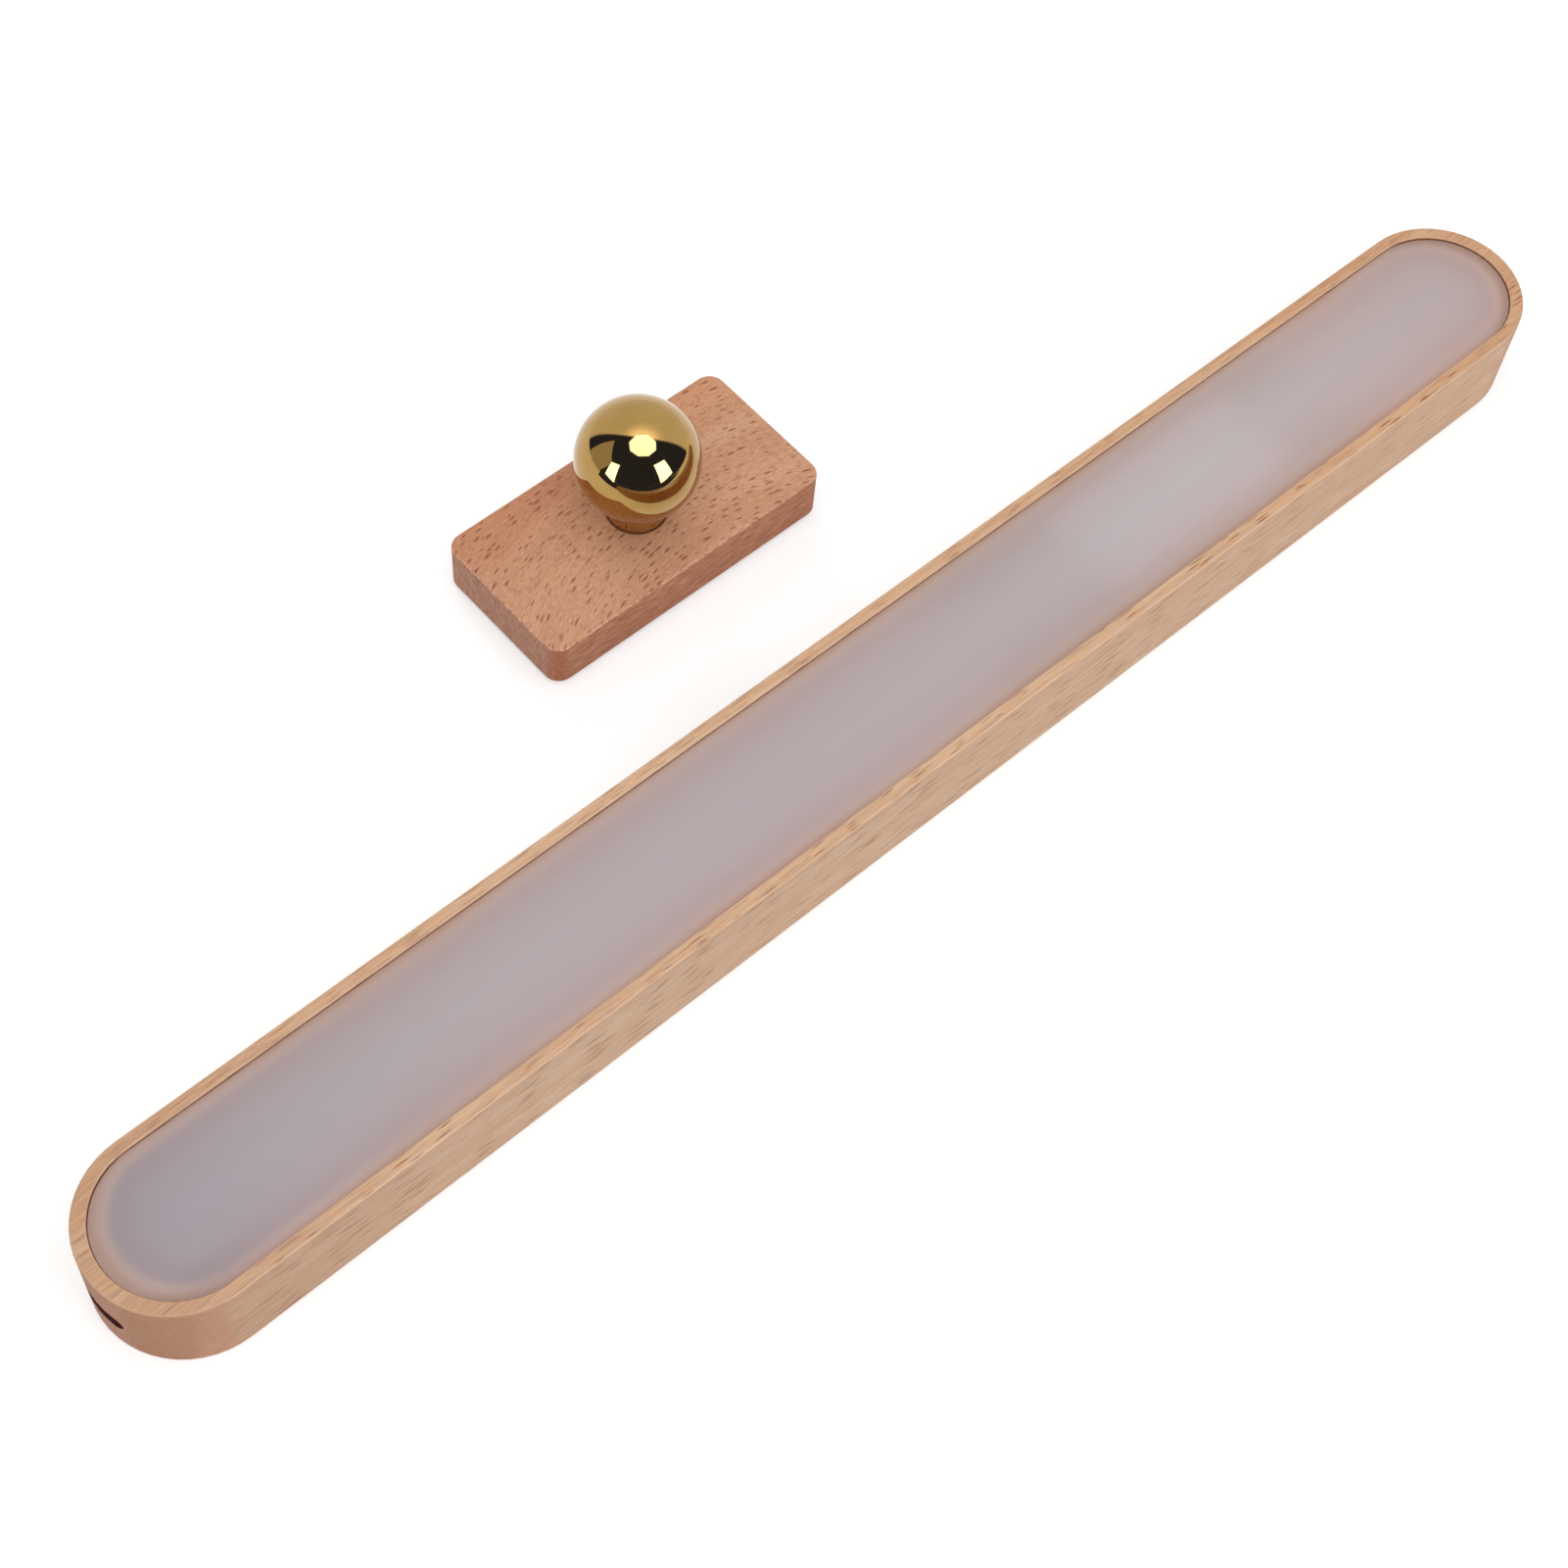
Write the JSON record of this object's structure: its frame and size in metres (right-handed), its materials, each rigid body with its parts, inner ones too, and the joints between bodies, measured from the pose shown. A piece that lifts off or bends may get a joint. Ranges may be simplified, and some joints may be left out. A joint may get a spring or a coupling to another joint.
{
  "type": "rechargeable wooden vanity light",
  "caption": "Long round-ended beech light bar with a frosted front and a charging slot, and a small beech wall plate with a gilded ball that the bar's magnetic seat drops onto.",
  "frame": {"origin": "centre of the adhesive pad's wall face, under the ball", "axes": "+Z away from the wall through the ball, +X along the light bar and the wall plate, charging port at the bar's -X end, bar on the -Y side of the base"},
  "size_m": [0.4036, 0.1169, 0.0457],
  "materials": {
    "pale_beech": "satin",
    "red_beech": "satin",
    "frosted_acrylic": "frosted",
    "gilded_metal": "polished",
    "steel": "satin",
    "nickel": "satin",
    "black_plastic": "matte",
    "foam_pad": "matte",
    "white_board": "satin",
    "lamp_chip": "satin",
    "green_board": "satin",
    "cell_sleeve": "gloss sleeve",
    "red_lead": "satin",
    "grey_lead": "satin"
  },
  "bodies": {
    "wall_plate": {"wall_plate": "red_beech", "adhesive_pad": "foam_pad"},
    "ball_stud": {"ball_stud": "gilded_metal", "post_washer": "steel", "post_screw": "steel"},
    "battery": {"battery_cells": "cell_sleeve"},
    "light_bar": {"bar_housing": "pale_beech", "diffuser": "frosted_acrylic", "led_board": "white_board", "led_chips": "lamp_chip", "board_screws": "steel", "battery_cradle": "black_plastic", "battery_tabs": "nickel", "battery_leads": "red_lead", "control_board": "green_board", "control_chips": "black_plastic", "control_screws": "steel", "board_header": "black_plastic", "usb_shell": "steel", "usb_tongue": "black_plastic", "magnet_dish": "steel", "ring_magnet": "nickel", "dish_washer": "steel", "dish_screw": "steel", "button_switch": "black_plastic", "switch_board": "green_board", "switch_leads": "grey_lead"},
    "power_button": {"power_button": "gilded_metal"}
  },
  "joints": [
    {"name": "swivel", "type": "hinge", "parent": "wall_plate", "child": "ball_stud", "pos_m": [0, 0, 0.0132], "axis": [0, 0, 1], "continuous": true},
    {"name": "bar_carry", "type": "hinge", "parent": "ball_stud", "child": "battery", "pos_m": [0, -0.03865, 0.02983], "axis": [-1, 0, 0], "range_deg": [0, 180]},
    {"name": "bar_level", "type": "hinge", "parent": "battery", "child": "light_bar", "pos_m": [-0.064, -0.0773, 0.0084], "axis": [-1, 0, 0], "range_deg": [-180, 0]},
    {"name": "button_press", "type": "slide", "parent": "light_bar", "child": "power_button", "axis": [-1, 0, 0], "range_m": [0, 0.0006], "stiffness_N_per_m": 2500, "springref_m": -0.0004}
  ],
  "couplings": [
    {"joint": "bar_level", "follows": "bar_carry", "ratio": -1}
  ]
}
